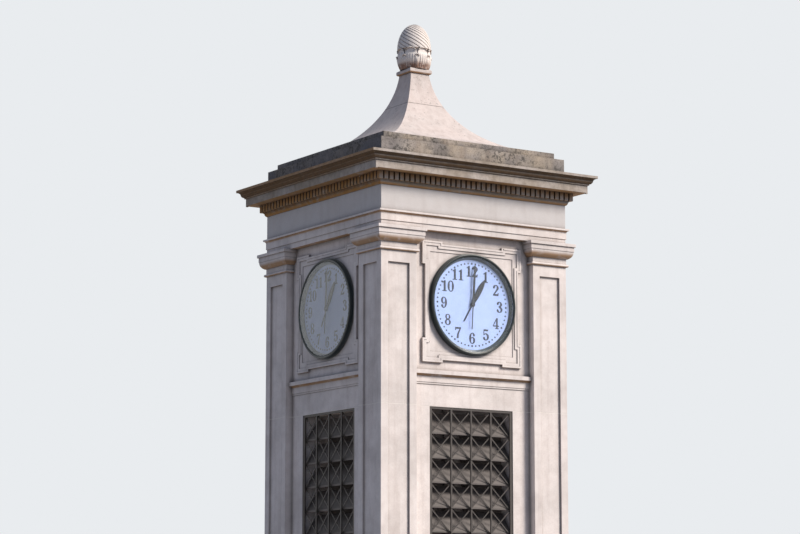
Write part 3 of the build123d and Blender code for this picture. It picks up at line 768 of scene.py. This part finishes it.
def painted(name, colour, roughness, edge_colour=None, relief_mm=0.1, patchy=0.8, shine=0.5):
    """Brushed exterior paint: an even dielectric coat with faint brush marks and rubbed edges."""
    material = new_material(name, colour)
    place = add_node(material, "TexCoord").outputs["Object"]
    uneven = blotches(material, place, 60, 0.3, 0.7)
    shade = coat(material, [c * patchy for c in colour], colour, uneven)

    # Brush marks drawn 5 mm apart, where 1 mm is real, so that they show
    marks = add_node(material, "TexNoise", {"Vector": place, "Scale": 1 / (5 * MM), "Detail": 3.0})
    soft_arris = add_node(material, "Bevel", {"Radius": 1.5 * MM}, samples=4)
    relief = add_node(
        material, "Bump",
        {"Height": marks, "Normal": soft_arris, "Strength": 0.4, "Distance": relief_mm * MM},
    )
    if edge_colour:
        shade = coat(material, shade, edge_colour, worn_edges(material, soft_arris), share=0.6)
    shader = add_node(
        material, "BsdfPrincipled",
        {"Base Color": shade, "Normal": relief, "Roughness": roughness, "Specular IOR Level": shine},
    )
    add_node(material, "OutputMaterial", {"Surface": shader})
    return material


def pane_glass(name):
    """Float glass: clear and smooth, and lamps shine through it. Its reflection is held down a little,
    as age has dulled it, so the numerals stay dark behind it."""
    clear = linear("#F9FBFC")
    material = new_material(name, clear)
    pane = add_node(
        material, "BsdfPrincipled",
        {
            "Base Color": clear, "Transmission Weight": 1.0, "Roughness": 0.02, "IOR": 1.5,
            "Specular IOR Level": 0.2,
        },
    )
    passing = add_node(material, "BsdfTransparent", {"Color": clear})
    path = add_node(material, "LightPath")
    mixed = add_node(material, "MixShader", {0: path.outputs["Is Shadow Ray"], 1: pane, 2: passing})
    add_node(material, "OutputMaterial", {"Surface": mixed})
    return material


# Outlines of the numerals, in bold slab letters with ball ends as on public clocks. A point is smooth,
# or a corner where it has a third value. Advance is from one numeral of a number to the next.
NUMERAL_HEIGHT = 100
NUMERAL_WIDTH = 72
NUMERAL_ADVANCE = 66
NUMERALS = {
    "0": (
        ((36, 101), (70, 50), (36, -1), (2, 50)),
        ((36, 92), (24, 50), (36, 8), (48, 50)),
    ),
    "1": (
        ((12, 0, 1), (12, 9, 1), (25, 9, 1), (25, 78, 1), (12, 73, 1), (12, 82, 1), (38, 100, 1),
         (47, 100, 1), (47, 9, 1), (60, 9, 1), (60, 0, 1)),
    ),
    "2": (
        ((37, 101), (69, 74), (54, 48), (26, 17, 1), (52, 17, 1), (60, 28, 1), (68, 28, 1), (64, 0, 1),
         (4, 0, 1), (4, 9, 1), (34, 48), (46, 74), (36, 92), (28, 76), (16, 65), (5, 77)),
    ),
    "3": (
        ((35, 101), (65, 76), (51, 54, 1), (69, 27), (34, -1), (4, 20), (16, 32), (27, 20), (34, 8),
         (46, 27), (26, 49, 1), (26, 57, 1), (43, 76), (34, 92), (28, 80), (17, 69), (6, 81)),
    ),
    "4": (
        ((40, 100, 1), (56, 100, 1), (56, 33, 1), (69, 33, 1), (69, 22, 1), (56, 22, 1), (56, 9, 1),
         (66, 9, 1), (66, 0, 1), (27, 0, 1), (27, 9, 1), (37, 9, 1), (37, 22, 1), (2, 22, 1), (2, 32, 1)),
        ((37, 33, 1), (13, 33, 1), (37, 76, 1)),
    ),
    "5": (
        ((10, 100, 1), (61, 100, 1), (58, 84, 1), (19, 84, 1), (18, 60, 1), (40, 66), (69, 33), (35, -1),
         (4, 20), (16, 32), (27, 20), (34, 8), (46, 33), (32, 55), (17, 46, 1), (8, 47, 1)),
    ),
    "6": (
        ((38, 101), (66, 79), (54, 67), (44, 79), (39, 92), (27, 74), (25, 54, 1), (42, 63), (69, 32),
         (36, -1), (3, 46)),
        ((37, 53), (25, 31), (36, 8), (47, 31)),
    ),
    "7": (
        ((5, 100, 1), (67, 100, 1), (67, 90, 1), (46, 42), (41, 0, 1), (19, 0, 1), (27, 42), (51, 84, 1),
         (17, 84, 1), (12, 72, 1), (4, 72, 1)),
    ),
    "8": (
        ((36, 101), (64, 77), (52, 53, 1), (69, 26), (36, -1), (3, 26), (19, 53, 1), (8, 77)),
        ((36, 93), (25, 77), (36, 59), (47, 77)),
        ((36, 46), (23, 26), (36, 8), (49, 26)),
    ),
}
NUMERALS["9"] = tuple(
    tuple((NUMERAL_WIDTH - x, NUMERAL_HEIGHT - y, *corner) for x, y, *corner in contour)
    for contour in NUMERALS["6"]
)


def number_slab(number, height, depth):
    """One number as a closed slab, its middle at the origin."""
    curve = bpy.data.curves.new("numeral", "CURVE")
    curve.dimensions = "2D"
    curve.fill_mode = "BOTH"
    curve.extrude = depth / 2
    curve.resolution_u = 6
    scale = height / NUMERAL_HEIGHT
    width = NUMERAL_ADVANCE * (len(number) - 1) + NUMERAL_WIDTH
    for index, digit in enumerate(number):
        for contour in NUMERALS[digit]:
            spline = curve.splines.new("BEZIER")
            spline.bezier_points.add(len(contour) - 1)
            spline.use_cyclic_u = True
            for point, (x, y, *corner) in zip(spline.bezier_points, contour):
                left = index * NUMERAL_ADVANCE - width / 2
                point.co = ((x + left) * scale, (y - NUMERAL_HEIGHT / 2) * scale, 0)
                point.handle_left_type = point.handle_right_type = "VECTOR" if corner else "AUTO"
    helper = bpy.data.objects.new("numeral", curve)
    bpy.context.scene.collection.objects.link(helper)
    bpy.context.view_layer.update()
    mesh = bpy.data.meshes.new_from_object(helper.evaluated_get(bpy.context.evaluated_depsgraph_get()))
    slab = bmesh.new()
    slab.from_mesh(mesh)
    bmesh.ops.remove_doubles(slab, verts=slab.verts, dist=0.01 * MM)
    bmesh.ops.recalc_face_normals(slab, faces=slab.faces)
    bpy.data.objects.remove(helper)
    bpy.data.curves.remove(curve)
    bpy.data.meshes.remove(mesh)
    return slab


class TOWER_OT_paint_dials(bpy.types.Operator):
    """Enamel the dials and paint their numerals and minute dots"""

    bl_idname = "tower.paint_dials"
    bl_label = "Paint the dials"

    def execute(self, context):
        looks = context.scene.clock_looks

        # Vitreous enamel, fused on a flat plate: even, smooth and glossy. Its blue is a painted sky
        # reflection on enamel that is white
        enamel = painted("vitreous_enamel_sky_blue", looks.enamel, 0.28, relief_mm=0.03, patchy=0.93)
        dress(enamel, "clock_dials")

        # Stencilled paint in one thin coat: blue-black and half matt
        paint = painted("dial_paint", looks.paint, 0.5, relief_mm=0.05, shine=0.25)
        faces = [on_face(turn, DIAL_FRONT) for turn in FACES.values()]
        depth = 2 * looks.paint_depth
        numerals = bmesh.new()
        for hour in range(1, 13):
            number = number_slab(str(hour), looks.numeral_height, depth)
            angle = math.radians(90 - 30 * hour)
            spot = Vector((math.cos(angle), math.sin(angle), 0)) * looks.numeral_radius
            set_out(number, [face @ Matrix.Translation(spot) for face in faces], onto=numerals)
        add_piece("dial_numerals", numerals, paint)

        dots = bmesh.new()
        for minute in range(60):
            radius = looks.hour_dot if minute % 5 == 0 else looks.minute_dot
            angle = math.radians(6 * minute)
            spot = Vector((math.sin(angle), math.cos(angle), 0)) * looks.dot_radius
            dot = bmesh.new()
            bmesh.ops.create_cone(
                dot, cap_ends=True, segments=14, radius1=radius, radius2=radius, depth=depth
            )
            set_out(dot, [face @ Matrix.Translation(spot) for face in faces], onto=dots)
        add_piece("dial_minute_dots", dots, paint)
        return {"FINISHED"}


class TOWER_OT_fit_bezels(bpy.types.Operator):
    """Turn the bezels, with their flange, rolled rim and deep inner wall"""

    bl_idname = "tower.fit_bezels"
    bl_label = "Fit the bezels"

    def execute(self, context):
        looks = context.scene.clock_looks
        depth = BEZEL_FRONT - DIAL_FRONT
        rim = looks.rim_radius
        flange = BEZEL_RADIUS + looks.flange_width
        edge = 2 * MM
        inner = BEZEL_RADIUS - 42 * MM
        throat = BEZEL_RADIUS - 2 * rim
        glass_seat = BEZEL_RADIUS - 24.1 * MM

        # Radius and height over the dial: rounded flange, fillet, rolled rim, glass seat, inner wall
        outline = [
            (inner, 0), (flange, 0), *arc((flange - edge, 1.5 * MM), edge, 0, 90, 4),
            *arc((BEZEL_RADIUS + edge, 5.5 * MM), edge, -90, -180, 4),
            *arc((BEZEL_RADIUS - rim, depth - rim), rim, 0, 180, 12),
            (throat - 2.2 * MM, depth - rim - 0.8 * MM), (glass_seat, depth - rim - 1.2 * MM),
            (inner + 1.5 * MM, 2 * MM),
        ]
        ring = turned(outline, 112, closed=True)
        bezels = set_out(ring, [on_face(turn, DIAL_FRONT) for turn in FACES.values()])

        # Gloss paint on a turned bronze ring: green-black and bright, rubbed grey along its edges
        paint = painted("bezel_paint", looks.bezel, 0.32, edge_colour=linear("#66716F"))
        add_piece(
            "rolled_bezels", bezels, paint, replaces=("clock_bezels",), smooth_angle=35
        )
        return {"FINISHED"}


class TOWER_OT_shape_hands(bpy.types.Operator):
    """Finish the hands and their posts"""

    bl_idname = "tower.shape_hands"
    bl_label = "Shape the hands"

    def execute(self, context):
        looks = context.scene.clock_looks

        # Satin paint on hands cut from sheet: near black, duller than the bezel
        paint = painted("hand_paint", looks.hands, 0.45, shine=0.3)
        dress(paint, "hand_posts", *[f"{kind}_hand_{face}" for kind in ("minute", "hour") for face in FACES])
        return {"FINISHED"}


class TOWER_OT_glaze_clocks(bpy.types.Operator):
    """Glaze the clocks"""

    bl_idname = "tower.glaze_clocks"
    bl_label = "Glaze the clocks"

    def execute(self, context):
        dress(pane_glass("float_glass"), "clock_glasses")
        return {"FINISHED"}


class TOWER_OT_paint_lattices(bpy.types.Operator):
    """Paint the lattices and the louvre blades behind them, and rivet the crossings"""

    bl_idname = "tower.paint_lattices"
    bl_label = "Paint the lattices"

    def execute(self, context):
        looks = context.scene.lattice_looks

        # Bronze paint brushed on bars: brown-black, gone half matt, and paler along rubbed edges; darker than
        # the blades partly as painted shade
        bars = painted("bronze_paint", looks.bars, 0.5, edge_colour=linear("#6F675F"))
        dress(bars, *[f"grille_{face}" for face in FACES], "grille_braces")

        # Paint on bent sheet blades, chalked by weather: browner, paler and matt, darkened a little as
        # painted shade
        blades = painted("louvre_paint", looks.blades, 0.6)
        dress(blades, "louvres")

        # Low domed heads where the braces cross the uprights, sunk a little into them
        wide = (LATTICE_HIGH.x - LATTICE_LOW.x - 2 * LATTICE_BORDER) / LATTICE_COLUMNS
        high = (LATTICE_HIGH.z - LATTICE_LOW.z - 2 * LATTICE_BORDER) / LATTICE_ROWS
        foot = LATTICE_LOW.z + LATTICE_BORDER
        sunk, dome, radius = 1 * MM, 3 * MM, looks.rivet_radius
        head = [(0, -sunk), (radius, -sunk)]
        head += [(radius * math.cos(a), dome * math.sin(a)) for a in (0, 0.5, 1.05, math.pi / 2)]
        places = [
            on_face(turn, -LATTICE_LOW.y, foot + high * row) @ Matrix.Translation((wide * column, 0, 0))
            for turn in FACES.values() for row in range(1, LATTICE_ROWS) for column in (-1, 0, 1)
        ]
        rivets = set_out(turned(head, 12), places)
        add_piece("lattice_rivets", rivets, bars, smooth_angle=60)
        return {"FINISHED"}


def seen_rays(material):
    """A mask of the rays that show the stage: the camera's, and those that gloss and glass turn from it.
    A ray that a matt surface has scattered is left out, so the stage lights the tower by its plain level."""
    path = add_node(material, "LightPath")
    seen = path.outputs["Is Camera Ray"]
    for kind in ("Is Glossy Ray", "Is Transmission Ray"):
        seen = add_node(material, "Math", {0: seen, 1: path.outputs[kind]}, operation="MAXIMUM")
    direct = add_node(material, "Math", {0: path.outputs["Diffuse Depth"], 1: 0.5}, operation="LESS_THAN")
    return add_node(material, "Math", {0: seen, 1: direct}, operation="MULTIPLY")


class TOWER_OT_set_stage(bpy.types.Operator):
    """Set the floor, lights, world and camera"""

    bl_idname = "tower.set_stage"
    bl_label = "Set the stage"

    def execute(self, context):
        looks = context.scene.studio_looks
        scene = context.scene
        scene.view_settings.view_transform = "Standard"

        # Camera where the photograph was taken: 1.6 m above the ground, looking up at the clocks
        camera = bpy.data.cameras.new("camera")
        camera.sensor_width = 36
        camera.lens = CAMERA_LENS
        camera.clip_end = 400
        viewer = bpy.data.objects.new("camera", camera)
        viewer.location = CAMERA_PLACE
        viewer.rotation_euler = (math.radians(CAMERA_PITCH), 0, math.radians(CAMERA_TURN))
        scene.collection.objects.link(viewer)
        scene.camera = viewer

        # The back light lifts only the back, the right side and the tops out of shade
        for name, strength, spread, rise, turn in (
            ("key_light", looks.sun_strength, looks.sun_spread, looks.sun_rise, looks.sun_turn),
            ("back_light", looks.back_strength, looks.back_spread, looks.back_rise, looks.back_turn),
        ):
            lamp = bpy.data.lights.new(name, "SUN")
            lamp.energy = strength
            lamp.angle = spread
            lamp.color = looks.sun_colour
            holder = bpy.data.objects.new(name, lamp)
            holder.rotation_euler = (math.pi / 2 - rise, 0, turn)
            scene.collection.objects.link(holder)

        # The camera, gloss and glass see the pale backdrop, and the fill alone lights the tower
        world = bpy.data.worlds.new("studio")
        world.use_nodes = True
        world.node_tree.nodes.clear()
        fill = add_node(world, "Background", {"Color": looks.sky_colour, "Strength": looks.sky_strength})
        backdrop = add_node(world, "Background", {"Color": looks.backdrop, "Strength": 1.0})
        mixed = add_node(world, "MixShader", {0: seen_rays(world), 1: fill, 2: backdrop})
        add_node(world, "OutputWorld", {"Surface": mixed})
        scene.world = world

        # Screed trowelled level: plain and matt, and it keeps the tower's shadow
        ground = bmesh.new()
        bmesh.ops.create_grid(ground, x_segments=1, y_segments=1, size=60)
        mesh = bpy.data.meshes.new("floor")
        ground.to_mesh(mesh)
        ground.free()
        screed = new_material("pale_screed", looks.floor)
        tint = coat(screed, looks.floor_bounce, looks.floor, seen_rays(screed))
        shader = add_node(screed, "BsdfPrincipled", {"Base Color": tint, "Roughness": 0.9})
        add_node(screed, "OutputMaterial", {"Surface": shader})
        mesh.materials.append(screed)
        floor = bpy.data.objects.new("floor", mesh)
        scene.collection.objects.link(floor)
        return {"FINISHED"}


class TOWER_PT_finishes(bpy.types.Panel):
    """Lists the steps that finish the tower"""

    bl_idname = "TOWER_PT_finishes"
    bl_label = "Clock Tower"
    bl_space_type = "VIEW_3D"
    bl_region_type = "UI"
    bl_category = "Clock Tower"

    def draw(self, context):
        for step in STEPS:
            self.layout.operator(step.bl_idname)
        for name in LOOKS:
            box = self.layout.box()
            group = getattr(context.scene, name)
            for prop in group.bl_rna.properties:
                if prop.identifier not in ("rna_type", "name"):
                    box.prop(group, prop.identifier)


LOOKS = {
    "stone_looks": StoneLooks,
    "finial_looks": FinialLooks,
    "clock_looks": ClockLooks,
    "lattice_looks": LatticeLooks,
    "studio_looks": StudioLooks,
}
STEPS = (
    TOWER_OT_dress_walls,
    TOWER_OT_dress_cornice,
    TOWER_OT_dress_roof,
    TOWER_OT_carve_finial,
    TOWER_OT_paint_dials,
    TOWER_OT_fit_bezels,
    TOWER_OT_shape_hands,
    TOWER_OT_glaze_clocks,
    TOWER_OT_paint_lattices,
    TOWER_OT_set_stage,
)
CLASSES = (*LOOKS.values(), *STEPS, TOWER_PT_finishes)


def register():
    """Registers the classes and hangs the settings on the scene."""
    for cls in CLASSES:
        bpy.utils.register_class(cls)
    for name, group in LOOKS.items():
        setattr(bpy.types.Scene, name, PointerProperty(type=group))


def unregister():
    """Takes the settings and classes away again."""
    for name in LOOKS:
        delattr(bpy.types.Scene, name)
    for cls in reversed(CLASSES):
        bpy.utils.unregister_class(cls)


def main():
    """Runs every step in order."""
    register()
    for step in STEPS:
        group, name = step.bl_idname.split(".")
        getattr(getattr(bpy.ops, group), name)()


if __name__ == "__main__":
    main()
